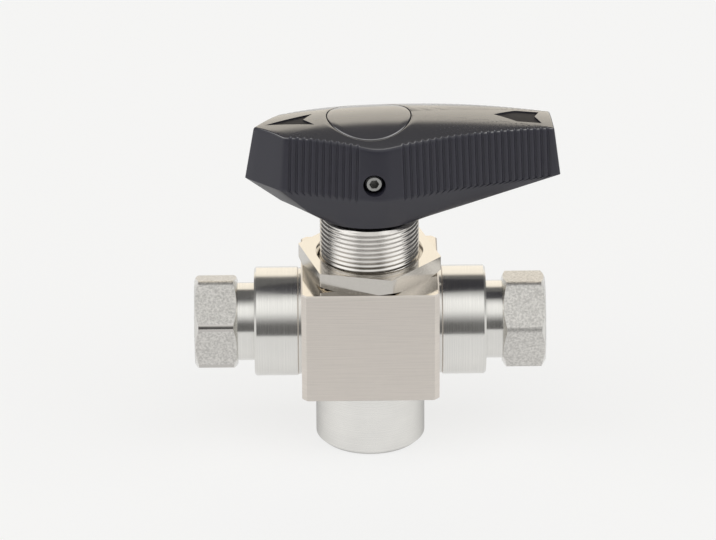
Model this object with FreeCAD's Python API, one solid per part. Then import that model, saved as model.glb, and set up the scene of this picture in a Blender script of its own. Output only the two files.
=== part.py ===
import FreeCAD, Part
import math
import os

from FreeCAD import Vector

# Three-way ball valve with a bottom common port, two side ports and a
# half-turn lever handle. Millimetres. The origin is the centre of the bottom
# port's mouth, on which the valve stands. +Z runs up the stem and +X points
# to the right-hand port. The handle points to the left-hand port.

# Block and bosses
port_axis_height = 36.1
block_width = 39.6
block_depth = 39.6
block_above_axis = 17.5
block_below_axis = 16.3
block_corner_chamfer = 1.4
block_edge_chamfer = 0.4
boss_diameter = 31.6
boss_reach = 33.4
boss_chamfer = 0.6
boss_relief_width = 0.8
boss_relief_depth = 0.35
bottom_chamfer = 0.9

# Threaded neck and its panel nut
neck_diameter = 28.575
neck_height = 17.3
neck_chamfer = 0.9
panel_nut_flats = 36.5
panel_nut_thickness = 5.1
panel_nut_turn = 46.9
panel_nut_chamfer_circle = 38.6
panel_nut_countersink_diameter = 31.0
nut_chamfer_angle = 30.0

# Flow path and pipe ports
flow_bore_diameter = 4.8
port_bore_diameter = 11.4
port_depth = 14.5
port_mouth_diameter = 14.2
drill_half_angle = 59.0

# Fits
slip_gap = 0.04
running_gap = 0.05
thrust_gap = 0.15
carrier_gap = 0.15
end_gap = 0.3

# How far a cutting shape runs past the surface that it opens
overrun = 2.0

# Ball and stem, one piece
ball_diameter = 12.7
collar_diameter = 9.8
collar_reach = 7.45
stem_diameter = 9.5
trunnion_diameter = 7.9
stem_flats = 7.6
stem_top_chamfer = 0.6

# Seats and what loads them, measured outward from the ball's centre
seat_diameter = 8.6
seat_lip = 0.6
seat_length = 4.4
carrier_diameter = 13.8
carrier_pocket_depth = 2.6
carrier_web = 1.4
carrier_tube_diameter = 8.0
carrier_tube_length = 6.4
seal_groove_diameter = 6.2
seal_groove_width = 1.1
seal_groove_offset = 3.4
seal_section_sides = 8
disc_spring_outer_gap = 0.2
disc_spring_thickness = 0.45
disc_spring_height = 1.0
disc_springs_per_side = 2

# End screws
nose_diameter = 17.2
nose_length = 5.2
nose_pocket_gap = 0.5
end_seal_thickness = 1.0
end_seal_gap = 0.1
shank_diameter = 22.2
screw_neck_diameter = 22.6
screw_neck_length = 4.8
screw_hex_flats = 25.4
screw_hex_length = 12.45
screw_hex_chamfer_circle = 24.4
left_hex_turn = -10.8
right_hex_turn = 18.0

# Bores in the body round the stem and trunnion
trunnion_pocket_diameter = 11.4
stem_bore_diameter = 13.2
stem_thread_diameter = 14.29

# Lower stack, upwards from the floor of the trunnion pocket
lower_packing_height = 3.0
lower_gland_height = 1.6
lower_bearing_height = 4.8

# Upper stack, upwards from the collar
upper_bearing_height = 3.2
packing_support_height = 1.5
packing_ring_height = 2.4
packing_ring_count = 2
packing_vee = 0.6
stem_gland_height = 2.6
packing_spring_height = 1.2
packing_spring_count = 2
thread_start_above_gland = 0.8
packing_bolt_stand = 0.4
packing_hex_flats = 12.7
packing_hex_height = 4.0
packing_hex_chamfer_circle = 11.7

# Stop pin
stop_pin_diameter = 2.3
stop_pin_circle = 22.8
stop_pin_seat = 4.0
stop_gap = 0.25

# Handle, in its own frame with the point along -X
handle_turn = 4.7
handle_clearance = 1.2
hub_foot_length = 33.0
hub_foot_width = 27.4
hub_foot_shift = 0.6
hub_foot_split = 40.0
hull_height = 11.3
hull_break_height = 3.9
hull_break_reach = 25.8
hull_break_cheek_reach = 17.9
hull_break_cheek_half_width = 9.6
grip_height = 14.9
draft_angle = 7.0
hub_grip_radius = 15.5
hub_grip_shift = 1.9
nose_reach = 33.25
nose_half_angle = 46.1
nose_side_lean = 16.2
tail_reach = 52.5
tail_side_lean = 11.0
crown_rise = 3.5
crown_cross_radius = 29.5
crown_nose_radius = 218.0
crown_tail_radius = 370.0
crown_margin = 6.0
top_edge_chamfer = 0.6
rib_pitch = 1.95
rib_groove_width = 1.15
rib_groove_depth = 0.5
rib_run_out = 1.5
nose_rib_end = 24.5
nose_rib_start = 4.6
tail_rib_start = 8.6
tail_rib_end = 51.8
hub_cavity_diameter = 16.0
stop_slot_depth = 2.4
cap_diameter = 23.9
cap_depth = 3.4
cap_gap = 0.15
arrow_depth = 0.45
nose_arrow_tip = 29.8
nose_arrow_tail = 15.9
nose_arrow_notch = 18.8
nose_arrow_half_width = 3.6
tail_arrow_tip = 35.8
tail_arrow_shoulder = 42.2
tail_arrow_tail = 49.2
tail_arrow_notch = 47.6
tail_arrow_half_width = 3.65

# Handle insert and set screw
insert_flats = 14.0
insert_length = 17.6
set_screw_diameter = 5.0
set_screw_height = 14.9
set_screw_chamfer = 0.4
set_screw_recess = 1.3
set_screw_hole_diameter = 6.4
set_screw_socket_flats = 2.5
set_screw_socket_depth = 3.0

# Worked out from the sizes above
X_AXIS = Vector(1, 0, 0)
Y_AXIS = Vector(0, 1, 0)
Z_AXIS = Vector(0, 0, 1)
ORIGIN = Vector(0, 0, 0)
AXIS_POINT = Vector(0, 0, port_axis_height)

block_top = port_axis_height + block_above_axis
block_bottom = port_axis_height - block_below_axis
neck_top = block_top + neck_height
ball_radius = ball_diameter / 2
seat_radius = seat_diameter / 2
flow_radius = flow_bore_diameter / 2
port_radius = port_bore_diameter / 2
stem_radius = stem_diameter / 2
trunnion_radius = trunnion_diameter / 2

seat_front = math.sqrt(ball_radius ** 2 - seat_radius ** 2) + seat_lip
seat_back = seat_front + seat_length
carrier_front = seat_back - carrier_pocket_depth
carrier_back = seat_back + carrier_web
carrier_end = carrier_back + carrier_tube_length
nose_front = carrier_back + disc_springs_per_side * disc_spring_height
nose_back = nose_front + nose_length
seal_shoulder = nose_back - end_seal_thickness
carrier_bore_radius = carrier_diameter / 2 + carrier_gap
screw_face = boss_reach + screw_neck_length + screw_hex_length

collar_top = port_axis_height + collar_reach
collar_bottom = port_axis_height - collar_reach
lower_ledge = collar_bottom - thrust_gap
trunnion_floor = lower_ledge - lower_bearing_height - lower_gland_height - lower_packing_height
upper_bearing_bottom = collar_top + thrust_gap
support_bottom = upper_bearing_bottom + upper_bearing_height
packing_bottom = support_bottom + packing_support_height
gland_bottom = packing_bottom + packing_ring_count * packing_ring_height
gland_top = gland_bottom + stem_gland_height
packing_bolt_bottom = gland_top + packing_spring_count * packing_spring_height
stem_thread_bottom = gland_top + thread_start_above_gland
packing_hex_bottom = neck_top + packing_bolt_stand
packing_hex_top = packing_hex_bottom + packing_hex_height

handle_bottom = neck_top + handle_clearance
grip_bottom = handle_bottom + hull_height
grip_top = grip_bottom + grip_height
crown_top = grip_top + crown_rise
cap_floor = crown_top - cap_depth
insert_bottom = packing_hex_top + end_gap
insert_top = insert_bottom + insert_length
set_screw_level = handle_bottom + set_screw_height


def save(name, shape):
    shape.exportStep("parts/" + name + ".step")


def revolved(points):
    """Solid of revolution about Z from (radius, height) corners."""
    corners = [Vector(r, 0, z) for r, z in points]
    face = Part.Face(Part.makePolygon(corners + corners[:1]))
    return face.revolve(ORIGIN, Z_AXIS, 360)


def ring(inner_radius, outer_radius, bottom, top):
    return revolved([
        (inner_radius, bottom), (outer_radius, bottom), (outer_radius, top), (inner_radius, top)])


def cylinder(radius, bottom, top):
    return Part.makeCylinder(radius, top - bottom, Vector(0, 0, bottom))


def hexagon(flats, bottom, top, turn):
    """Hexagonal prism with its first corner turned from +X."""
    corner_radius = flats / 2 / math.cos(math.radians(30))
    corners = []
    for k in range(6):
        angle = math.radians(turn + 60 * k)
        corners.append(Vector(corner_radius * math.cos(angle), corner_radius * math.sin(angle), bottom))
    face = Part.Face(Part.makePolygon(corners + corners[:1]))
    return face.extrude(Vector(0, 0, top - bottom))


def chamfered_hexagon(flats, bottom, top, turn, lower_circle, upper_circle):
    """Hexagon, its corners turned down to a cone from a circle on either end face or left sharp with None."""
    reach = flats / 2 / math.cos(math.radians(30)) + overrun
    slope = math.tan(math.radians(nut_chamfer_angle))
    points = [(0, bottom)]
    if lower_circle:
        start = lower_circle / 2
        points += [(start, bottom), (reach, bottom + (reach - start) * slope)]
    else:
        points.append((reach, bottom))
    if upper_circle:
        start = upper_circle / 2
        points += [(reach, top - (reach - start) * slope), (start, top)]
    else:
        points.append((reach, top))
    points.append((0, top))
    return hexagon(flats, bottom, top, turn).common(revolved(points))


def port_cutter(mouth, inner, mouth_diameter):
    """Pipe port, its drill cone and the flow bore, along +Z to the mouth."""
    bore_bottom = mouth - port_depth
    cone_length = (port_radius - flow_radius) / math.tan(math.radians(drill_half_angle))
    points = [(0, inner), (flow_radius, inner), (flow_radius, bore_bottom - cone_length)]
    points += [(port_radius, bore_bottom)]
    mouth_radius = mouth_diameter / 2
    if mouth_radius > port_radius:
        points.append((port_radius, mouth - (mouth_radius - port_radius)))
        points.append((mouth_radius, mouth))
    else:
        points.append((port_radius, mouth))
    points.append((0, mouth))
    return revolved(points)


def disc_spring_stack(inner_radius, outer_radius, bottom, height, count):
    """Disc springs stacked face to face, each a shallow cone."""
    springs = []
    for k in range(count):
        low = bottom + k * height
        rise = height - disc_spring_thickness
        inner_low = low + rise if k % 2 == 0 else low
        outer_low = low if k % 2 == 0 else low + rise
        points = [(inner_radius, inner_low), (outer_radius, outer_low)]
        points += [(outer_radius, outer_low + disc_spring_thickness)]
        points += [(inner_radius, inner_low + disc_spring_thickness)]
        springs.append(revolved(points))
    return Part.makeCompound(springs)


def outward(shape, side):
    """Turn a shape built along +Z to run out of the ball's centre to one side."""
    placed = shape.copy()
    placed.rotate(ORIGIN, Y_AXIS, 90 * side)
    placed.translate(AXIS_POINT)
    return placed


def with_handle(shape):
    """Turn a shape from the handle's own frame to where the handle rests."""
    placed = shape.copy()
    placed.rotate(ORIGIN, Z_AXIS, handle_turn)
    return placed


def side_boss(side):
    relief_radius = boss_diameter / 2 - boss_relief_depth
    face = block_width / 2
    relief_end = face + boss_relief_width
    radius = boss_diameter / 2
    points = [(0, 0), (relief_radius, 0), (relief_radius, relief_end)]
    points += [(radius, relief_end + boss_relief_depth), (radius, boss_reach - boss_chamfer)]
    points += [(radius - boss_chamfer, boss_reach), (0, boss_reach)]
    return outward(revolved(points), side)


def side_cutter(side):
    """Stepped bore from the ball's cavity out through one side boss."""
    nose_radius = nose_diameter / 2 + slip_gap
    shank_radius = shank_diameter / 2 + slip_gap
    pocket_bottom = nose_front - nose_pocket_gap
    points = [(0, 0), (carrier_bore_radius, 0), (carrier_bore_radius, pocket_bottom)]
    points += [(nose_radius, pocket_bottom), (nose_radius, seal_shoulder)]
    points += [(shank_radius, seal_shoulder), (shank_radius, boss_reach), (0, boss_reach)]
    return outward(revolved(points), side)


def valve_body():
    block = Part.makeBox(
        block_width, block_depth, block_top - block_bottom,
        Vector(-block_width / 2, -block_depth / 2, block_bottom))
    uprights = [e for e in block.Edges if abs(e.tangentAt(e.FirstParameter).z) > 0.9]
    block = block.makeChamfer(block_corner_chamfer, uprights)
    rims = [e for e in block.Edges if abs(e.tangentAt(e.FirstParameter).z) < 0.1]
    block = block.makeChamfer(block_edge_chamfer, rims)
    radius = boss_diameter / 2
    foot = revolved([
        (0, 0), (radius - bottom_chamfer, 0), (radius, bottom_chamfer),
        (radius, port_axis_height), (0, port_axis_height)])
    neck_radius = neck_diameter / 2
    neck = revolved([
        (0, port_axis_height), (neck_radius, port_axis_height), (neck_radius, neck_top - neck_chamfer),
        (neck_radius - neck_chamfer, neck_top), (0, neck_top)])
    body = block.fuse([side_boss(-1), side_boss(1), foot, neck]).removeSplitter()

    stem_bore = cylinder(stem_bore_diameter / 2, lower_ledge, stem_thread_bottom)
    stem_thread = cylinder(stem_thread_diameter / 2 + slip_gap, stem_thread_bottom, neck_top)
    trunnion_pocket = cylinder(trunnion_pocket_diameter / 2, trunnion_floor, lower_ledge)
    port = port_cutter(0, -trunnion_floor, port_bore_diameter)
    port.rotate(ORIGIN, X_AXIS, 180)
    pin_hole = cylinder(stop_pin_diameter / 2, neck_top - stop_pin_seat, neck_top)
    pin_hole.translate(Vector(0, stop_pin_circle / 2, 0))
    bores = [stem_bore, stem_thread, trunnion_pocket, port, pin_hole]
    return body.cut([side_cutter(-1), side_cutter(1)] + bores)


def panel_nut():
    top = block_top + panel_nut_thickness
    nut = chamfered_hexagon(panel_nut_flats, block_top, top, panel_nut_turn, panel_nut_chamfer_circle, None)
    bore = neck_diameter / 2 + slip_gap
    mouth = panel_nut_countersink_diameter / 2
    return nut.cut(revolved([
        (0, block_top), (bore, block_top), (bore, top - (mouth - bore)), (mouth, top), (0, top)]))


def end_screw(side, turn):
    shank = revolved([
        (0, nose_front), (nose_diameter / 2, nose_front), (nose_diameter / 2, nose_back),
        (shank_diameter / 2, nose_back), (shank_diameter / 2, boss_reach),
        (screw_neck_diameter / 2, boss_reach), (screw_neck_diameter / 2, screw_face - screw_hex_length),
        (0, screw_face - screw_hex_length)])
    head = chamfered_hexagon(
        screw_hex_flats, screw_face - screw_hex_length, screw_face, turn,
        screw_hex_chamfer_circle, screw_hex_chamfer_circle)
    tube_bore = cylinder(carrier_tube_diameter / 2 + slip_gap, nose_front, carrier_end + nose_pocket_gap)
    port = port_cutter(screw_face, nose_front, port_mouth_diameter)
    return outward(shank.fuse(head).removeSplitter().cut([tube_bore, port]), side)


def end_seal(side):
    inner = nose_diameter / 2 + end_seal_gap
    outer = shank_diameter / 2 - end_seal_gap
    return outward(ring(inner, outer, seal_shoulder, nose_back), side)


def seat(side):
    body = ring(flow_radius, seat_radius, seat_front, seat_back)
    pocket = Part.makeSphere(ball_radius + running_gap)
    return outward(body.cut(pocket), side)


def seat_carrier(side):
    seat_hole = seat_radius + slip_gap
    tube_radius = carrier_tube_diameter / 2
    groove_radius = seal_groove_diameter / 2
    groove_start = carrier_back + seal_groove_offset
    groove_end = groove_start + seal_groove_width
    points = [(flow_radius, seat_back), (seat_hole, seat_back), (seat_hole, carrier_front)]
    points += [(carrier_diameter / 2, carrier_front), (carrier_diameter / 2, carrier_back)]
    points += [(tube_radius, carrier_back), (tube_radius, groove_start), (groove_radius, groove_start)]
    points += [(groove_radius, groove_end), (tube_radius, groove_end), (tube_radius, carrier_end)]
    points += [(flow_radius, carrier_end)]
    return outward(revolved(points), side)


def seat_seal(side):
    """O-ring, its round section drawn with a few flats."""
    bore_radius = carrier_tube_diameter / 2 + slip_gap
    groove_radius = seal_groove_diameter / 2
    section = (bore_radius - groove_radius) / 2 - slip_gap / 4
    middle = carrier_back + seal_groove_offset + seal_groove_width / 2
    points = []
    for k in range(seal_section_sides):
        angle = 2 * math.pi * (k + 0.5) / seal_section_sides
        radius = (bore_radius + groove_radius) / 2 + section * math.cos(angle)
        points.append((radius, middle + section * math.sin(angle)))
    return outward(revolved(points), side)


def seat_springs(side):
    inner = carrier_tube_diameter / 2 + running_gap
    outer = carrier_diameter / 2 - disc_spring_outer_gap
    stack = disc_spring_stack(inner, outer, carrier_back, disc_spring_height, disc_springs_per_side)
    return outward(stack, side)


def stack_ring(shaft_radius, bore_diameter, bottom, top):
    """Ring that runs on the stem or trunnion and fills its bore."""
    return ring(shaft_radius + running_gap, bore_diameter / 2 - slip_gap, bottom, top)


def stem_packing():
    """Vee-section rings, nested point upwards."""
    inner = stem_radius + running_gap
    outer = stem_bore_diameter / 2 - slip_gap
    middle = (inner + outer) / 2
    rings = []
    for k in range(packing_ring_count):
        low = packing_bottom + k * packing_ring_height
        high = low + packing_ring_height
        points = [(inner, low), (middle, low + packing_vee), (outer, low)]
        points += [(outer, high), (middle, high + packing_vee), (inner, high)]
        rings.append(revolved(points))
    return Part.makeCompound(rings)


def packing_support():
    inner = stem_radius + running_gap
    outer = stem_bore_diameter / 2 - slip_gap
    middle = (inner + outer) / 2
    points = [(inner, support_bottom), (outer, support_bottom), (outer, packing_bottom)]
    points += [(middle, packing_bottom + packing_vee), (inner, packing_bottom)]
    return revolved(points)


def stem_gland():
    inner = stem_radius + running_gap
    outer = stem_bore_diameter / 2 - slip_gap
    middle = (inner + outer) / 2
    points = [(inner, gland_bottom), (middle, gland_bottom + packing_vee), (outer, gland_bottom)]
    points += [(outer, gland_top), (inner, gland_top)]
    return revolved(points)


def packing_springs():
    inner = stem_radius + running_gap
    outer = stem_bore_diameter / 2 - disc_spring_outer_gap
    return disc_spring_stack(inner, outer, gland_top, packing_spring_height, packing_spring_count)


def packing_bolt():
    shank = cylinder(stem_thread_diameter / 2, packing_bolt_bottom, packing_hex_bottom)
    head = chamfered_hexagon(
        packing_hex_flats, packing_hex_bottom, packing_hex_top, 0, None, packing_hex_chamfer_circle)
    bore = cylinder(stem_radius + running_gap, packing_bolt_bottom, packing_hex_top)
    return shank.fuse(head).removeSplitter().cut(bore)


def stop_pin():
    top = handle_bottom + stop_slot_depth - end_gap
    pin = cylinder(stop_pin_diameter / 2, neck_top - stop_pin_seat, top)
    pin.translate(Vector(0, stop_pin_circle / 2, 0))
    return pin


def ball_stem():
    ball = Part.makeSphere(ball_radius, AXIS_POINT)
    collar = cylinder(collar_diameter / 2, collar_bottom, collar_top)
    trunnion = cylinder(trunnion_radius, trunnion_floor + end_gap, port_axis_height)
    stem_top = insert_top - end_gap
    stem = revolved([
        (0, port_axis_height), (stem_radius, port_axis_height), (stem_radius, stem_top - stem_top_chamfer),
        (stem_radius - stem_top_chamfer, stem_top), (0, stem_top)])
    shape = ball.fuse([collar, trunnion, stem]).removeSplitter()
    up_bore = cylinder(flow_radius, trunnion_floor, port_axis_height)
    side_bore = Part.makeCylinder(flow_radius, ball_diameter, AXIS_POINT, Vector(-1, 0, 0))
    elbow = Part.makeSphere(flow_radius, AXIS_POINT)
    flat = Part.makeBox(
        2 * stem_diameter, stem_diameter, insert_length,
        Vector(-stem_diameter, stem_flats / 2, insert_bottom))
    return with_handle(shape.cut([up_bore, side_bore, elbow, flat, flat.mirror(ORIGIN, Y_AXIS)]))


def handle_insert():
    body = hexagon(insert_flats, insert_bottom, insert_top, 0)
    bore = cylinder(stem_radius + slip_gap, insert_bottom, insert_top)
    half = stem_flats / 2 + slip_gap
    slab = Part.makeBox(
        2 * stem_diameter, 2 * half, insert_length, Vector(-stem_diameter, -half, insert_bottom))
    screw_hole = Part.makeCylinder(
        set_screw_diameter / 2 + slip_gap, insert_flats, Vector(0, 0, set_screw_level), Vector(0, -1, 0))
    return with_handle(body.cut([bore.common(slab), screw_hole]))


def wall_offset(level):
    """How far the drafted grip wall stands out from its size at the top."""
    return (grip_top - level) * math.tan(math.radians(draft_angle))


def flank_distance(angle, grow):
    """From the stem's axis to a flank that runs tangent off the hub's arc."""
    return hub_grip_radius + grow + hub_grip_shift * math.cos(math.radians(angle))


def plan_corner(angle_a, distance_a, angle_b, distance_b):
    """Meeting point of two lines, each given by its normal's angle and distance."""
    ax, ay = math.cos(math.radians(angle_a)), math.sin(math.radians(angle_a))
    bx, by = math.cos(math.radians(angle_b)), math.sin(math.radians(angle_b))
    det = ax * by - ay * bx
    return ((distance_a * by - ay * distance_b) / det, (ax * distance_b - distance_a * bx) / det)


nose_angle = 90 + nose_half_angle
nose_side_angle = 90 + nose_side_lean
tail_side_angle = 90 - tail_side_lean
nose_distance = nose_reach * math.sin(math.radians(nose_half_angle))


def plan_points(level):
    """Corners of half the handle's plan at one level, from the nose's tip to the tail's heel."""
    grow = wall_offset(level)

    def on_hub(angle):
        a = math.radians(angle)
        radius = hub_grip_radius + grow
        return (hub_grip_shift + radius * math.cos(a), radius * math.sin(a))

    nose_offset = nose_distance + grow
    nose_flank = flank_distance(nose_side_angle, grow)
    tail_flank = flank_distance(tail_side_angle, grow)
    corners = [
        (-nose_offset / math.sin(math.radians(nose_half_angle)), 0.0),
        plan_corner(nose_angle, nose_offset, nose_side_angle, nose_flank),
        on_hub(nose_side_angle),
        on_hub(90),
        on_hub(tail_side_angle),
        plan_corner(0, tail_reach + grow, tail_side_angle, tail_flank),
    ]
    return [Vector(x, y, level) for x, y in corners]


def plan_wire(points):
    """Closed outline with a pointed nose, round hub and tapered tail."""
    tip, cheek, nose_tangent, hub_side, tail_tangent, heel = points
    far = [Vector(p.x, -p.y, p.z) for p in points]

    def line(start, stop):
        return Part.LineSegment(start, stop).toShape()

    edges = [line(tip, cheek), line(cheek, nose_tangent)]
    edges.append(Part.Arc(nose_tangent, hub_side, tail_tangent).toShape())
    edges += [line(tail_tangent, heel), line(heel, far[5]), line(far[5], far[4])]
    edges.append(Part.Arc(far[4], far[3], far[2]).toShape())
    edges += [line(far[2], far[1]), line(far[1], tip)]
    return Part.Wire(edges)


hub_foot_oval = Part.Ellipse(
    Vector(hub_foot_shift, 0, handle_bottom), hub_foot_length / 2, hub_foot_width / 2)


def hub_foot():
    """The hub's oval lower rim, split where the plan above it changes line."""
    turns = [180, nose_angle, nose_side_angle, tail_side_angle, hub_foot_split]
    turns = turns + [-turn for turn in reversed(turns)]
    arcs = []
    for start, stop in zip(turns, turns[1:]):
        arc = Part.ArcOfEllipse(hub_foot_oval, math.radians(stop), math.radians(start)).toShape()
        arcs.append(arc)
    return Part.Wire(arcs)


def hull_break():
    """Outline where the underside of the nose changes slope. The rest runs straight from foot to grip."""
    level = handle_bottom + hull_break_height
    share = hull_break_height / hull_height
    points = [Vector(-hull_break_reach, 0, level)]
    points.append(Vector(-hull_break_cheek_reach, hull_break_cheek_half_width, level))
    turns = [nose_side_angle, 90, tail_side_angle, hub_foot_split]
    for turn, above in zip(turns, plan_points(grip_bottom)[2:]):
        below = hub_foot_oval.value(math.radians(turn))
        points.append(below + (above - below) * share)
    return plan_wire(points)


def crown(drop):
    """Solid under the crowned top, lowered by drop."""
    radius = crown_cross_radius - drop
    top = crown_top - drop
    reach = hub_grip_radius + crown_margin
    low = top - (radius - math.sqrt(radius ** 2 - reach ** 2))
    base = handle_bottom - crown_margin
    arc = Part.Arc(Vector(0, -reach, low), Vector(0, 0, top), Vector(0, reach, low)).toShape()
    corners = [Vector(0, y, z) for y, z in ((reach, low), (reach, base), (-reach, base), (-reach, low))]
    face = Part.Face(Part.Wire([arc] + Part.makePolygon(corners).Edges))
    halves = []
    sweeps = ((-1, nose_reach, crown_nose_radius), (1, tail_reach, crown_tail_radius))
    for side, length, long_radius in sweeps:
        turn = math.degrees((length + crown_margin) / long_radius)
        halves.append(face.revolve(Vector(0, 0, crown_top - long_radius), Y_AXIS, side * turn))
    return halves[0].fuse(halves[1])


def rib_grooves():
    """Vee grooves that leave the grip's ribs, up both sides of nose and tail."""
    low = grip_bottom - rib_run_out
    high = crown_top + overrun
    cutters = []
    for angle, first, last, way in (
            (nose_side_angle, nose_rib_start, nose_rib_end, -1),
            (tail_side_angle, tail_rib_start, tail_rib_end, 1)):
        normal = Vector(math.cos(math.radians(angle)), math.sin(math.radians(angle)), 0)
        along = Vector(normal.y, -normal.x, 0) * way
        reach = flank_distance(angle, 0)
        tangent_x = reach * abs(normal.x)
        start = (first - tangent_x) / normal.y
        stop = (last - tangent_x) / normal.y
        for k in range(int((stop - start) / rib_pitch) + 1):
            place = along * (start + k * rib_pitch)
            foot = normal * (reach + wall_offset(low)) + place
            head = normal * (reach + wall_offset(high)) + place
            foot.z = low
            head.z = high
            corners = [foot - normal * rib_groove_depth]
            corners.append(foot + along * rib_groove_width + normal * rib_groove_depth)
            corners.append(foot - along * rib_groove_width + normal * rib_groove_depth)
            cutter = Part.Face(Part.makePolygon(corners + corners[:1])).extrude(head - foot)
            cutters.append(cutter)
            cutters.append(cutter.mirror(ORIGIN, Y_AXIS))
    return cutters


def prism_over(points):
    """Upright prism through the handle's top from plan corners."""
    corners = [Vector(x, y, grip_top - overrun) for x, y in points]
    face = Part.Face(Part.makePolygon(corners + corners[:1]))
    return face.extrude(Vector(0, 0, crown_rise + 2 * overrun))


def arrow_recesses():
    nose = prism_over([
        (-nose_arrow_tip, 0), (-nose_arrow_tail, -nose_arrow_half_width),
        (-nose_arrow_notch, 0), (-nose_arrow_tail, nose_arrow_half_width)])
    tail = prism_over([
        (tail_arrow_tip, 0), (tail_arrow_shoulder, -tail_arrow_half_width),
        (tail_arrow_tail, -tail_arrow_half_width), (tail_arrow_notch, 0),
        (tail_arrow_tail, tail_arrow_half_width), (tail_arrow_shoulder, tail_arrow_half_width)])
    floor = crown(arrow_depth)
    return [nose.cut(floor), tail.cut(floor)]


def stop_slot():
    """Half-turn groove under the hub for the stop pin."""
    half_width = stop_pin_diameter / 2 + stop_gap
    middle = stop_pin_circle / 2
    top = handle_bottom + stop_slot_depth
    corners = [Vector(0, y, z) for y, z in (
        (-middle - half_width, handle_bottom), (-middle + half_width, handle_bottom),
        (-middle + half_width, top), (-middle - half_width, top))]
    face = Part.Face(Part.makePolygon(corners + corners[:1]))
    slot = face.revolve(ORIGIN, Z_AXIS, 180)
    for side in (-1, 1):
        end = cylinder(half_width, handle_bottom, top)
        end.translate(Vector(0, side * middle, 0))
        slot = slot.fuse(end)
    return slot


def handle():
    grip_plan = plan_wire(plan_points(grip_bottom))
    top_plan = plan_wire(plan_points(crown_top + overrun))
    blank = Part.makeLoft([hub_foot(), hull_break(), grip_plan, top_plan], True, True)
    body = blank.common(crown(0))
    top_edges = [e for e in body.Edges if e.BoundBox.ZMin > grip_bottom + grip_height / 2]
    body = body.makeChamfer(top_edge_chamfer, top_edges)
    cavity = cylinder(hub_cavity_diameter / 2, handle_bottom, insert_bottom)
    insert_hole = hexagon(insert_flats + 2 * slip_gap, insert_bottom, insert_top, 0)
    screw_hole = Part.makeCylinder(
        set_screw_hole_diameter / 2, 2 * hub_grip_radius, Vector(0, 0, set_screw_level), Vector(0, -1, 0))
    cap_seat = cylinder(cap_diameter / 2 + cap_gap, cap_floor, crown_top + overrun)
    cutters = rib_grooves() + arrow_recesses() + [cavity, insert_hole, screw_hole, stop_slot(), cap_seat]
    return with_handle(body.cut(cutters))


def handle_cap():
    """Disc that closes the handle's top and carries on its crown."""
    return with_handle(cylinder(cap_diameter / 2, cap_floor, crown_top + overrun).common(crown(0)))


def handle_set_screw():
    wall = hub_grip_radius + wall_offset(set_screw_level)
    inner = stem_flats / 2
    outer = wall - set_screw_recess
    radius = set_screw_diameter / 2
    screw = revolved([
        (0, inner), (radius, inner), (radius, outer - set_screw_chamfer),
        (radius - set_screw_chamfer, outer), (0, outer)])
    socket = hexagon(set_screw_socket_flats, outer - set_screw_socket_depth, outer, 0)
    screw = screw.cut(socket)
    screw.rotate(ORIGIN, X_AXIS, 90)
    screw.translate(Vector(0, 0, set_screw_level))
    return with_handle(screw)


os.makedirs("parts", exist_ok=True)

save("valve_body", valve_body())
save("panel_nut", panel_nut())
save("left_end_screw", end_screw(-1, left_hex_turn))
save("right_end_screw", end_screw(1, right_hex_turn))
for name, side in (("left", -1), ("right", 1)):
    save(name + "_end_seal", end_seal(side))
    save(name + "_seat", seat(side))
    save(name + "_seat_carrier", seat_carrier(side))
    save(name + "_seat_o_ring", seat_seal(side))
    save(name + "_seat_springs", seat_springs(side))

packing_top = trunnion_floor + lower_packing_height
gland_ring_top = packing_top + lower_gland_height
save("lower_packing", stack_ring(trunnion_radius, trunnion_pocket_diameter, trunnion_floor, packing_top))
save("lower_gland", stack_ring(trunnion_radius, trunnion_pocket_diameter, packing_top, gland_ring_top))
save("lower_bearing", stack_ring(trunnion_radius, trunnion_pocket_diameter, gland_ring_top, lower_ledge))
save("upper_bearing", stack_ring(stem_radius, stem_bore_diameter, upper_bearing_bottom, support_bottom))
save("packing_support", packing_support())
save("stem_packing", stem_packing())
save("stem_gland", stem_gland())
save("packing_springs", packing_springs())
save("packing_bolt", packing_bolt())
save("stop_pin", stop_pin())

save("ball_stem", ball_stem())
save("handle_insert", handle_insert())
save("handle", handle())
save("handle_cap", handle_cap())
save("handle_set_screw", handle_set_screw())
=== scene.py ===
import math
from math import radians

import bmesh
import bpy
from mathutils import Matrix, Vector


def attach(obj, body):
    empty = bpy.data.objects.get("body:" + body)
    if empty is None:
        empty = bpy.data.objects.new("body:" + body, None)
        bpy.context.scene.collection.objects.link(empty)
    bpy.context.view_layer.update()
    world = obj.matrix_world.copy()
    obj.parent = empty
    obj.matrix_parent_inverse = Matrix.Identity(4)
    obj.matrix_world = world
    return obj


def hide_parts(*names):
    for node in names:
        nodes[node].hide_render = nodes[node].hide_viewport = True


# Looks of the three-way ball valve. Lengths are in millimetres here and are
# turned into metres as each mesh is made. They repeat the sizes of the solids.
MM = 0.001

# Sizes that the solids share
port_axis_height = 36.1
block_width = 39.6
block_top = 53.6
block_bottom = 19.8
block_bore_limit = 11.5
neck_radius = 14.2875
neck_top = 70.9
neck_chamfer = 0.9
port_radius = 5.7
bottom_mouth_radius = 5.7
bottom_mouth_chamfer = 0.9
screw_mouth_radius = 7.1
screw_face = 50.65
screw_hex_start = 38.2
screw_hex_flats = 25.4
screw_hex_rounding = 2.6
nut_flats = 36.5
nut_rounding = 0.5
nut_height = 5.1

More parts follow.
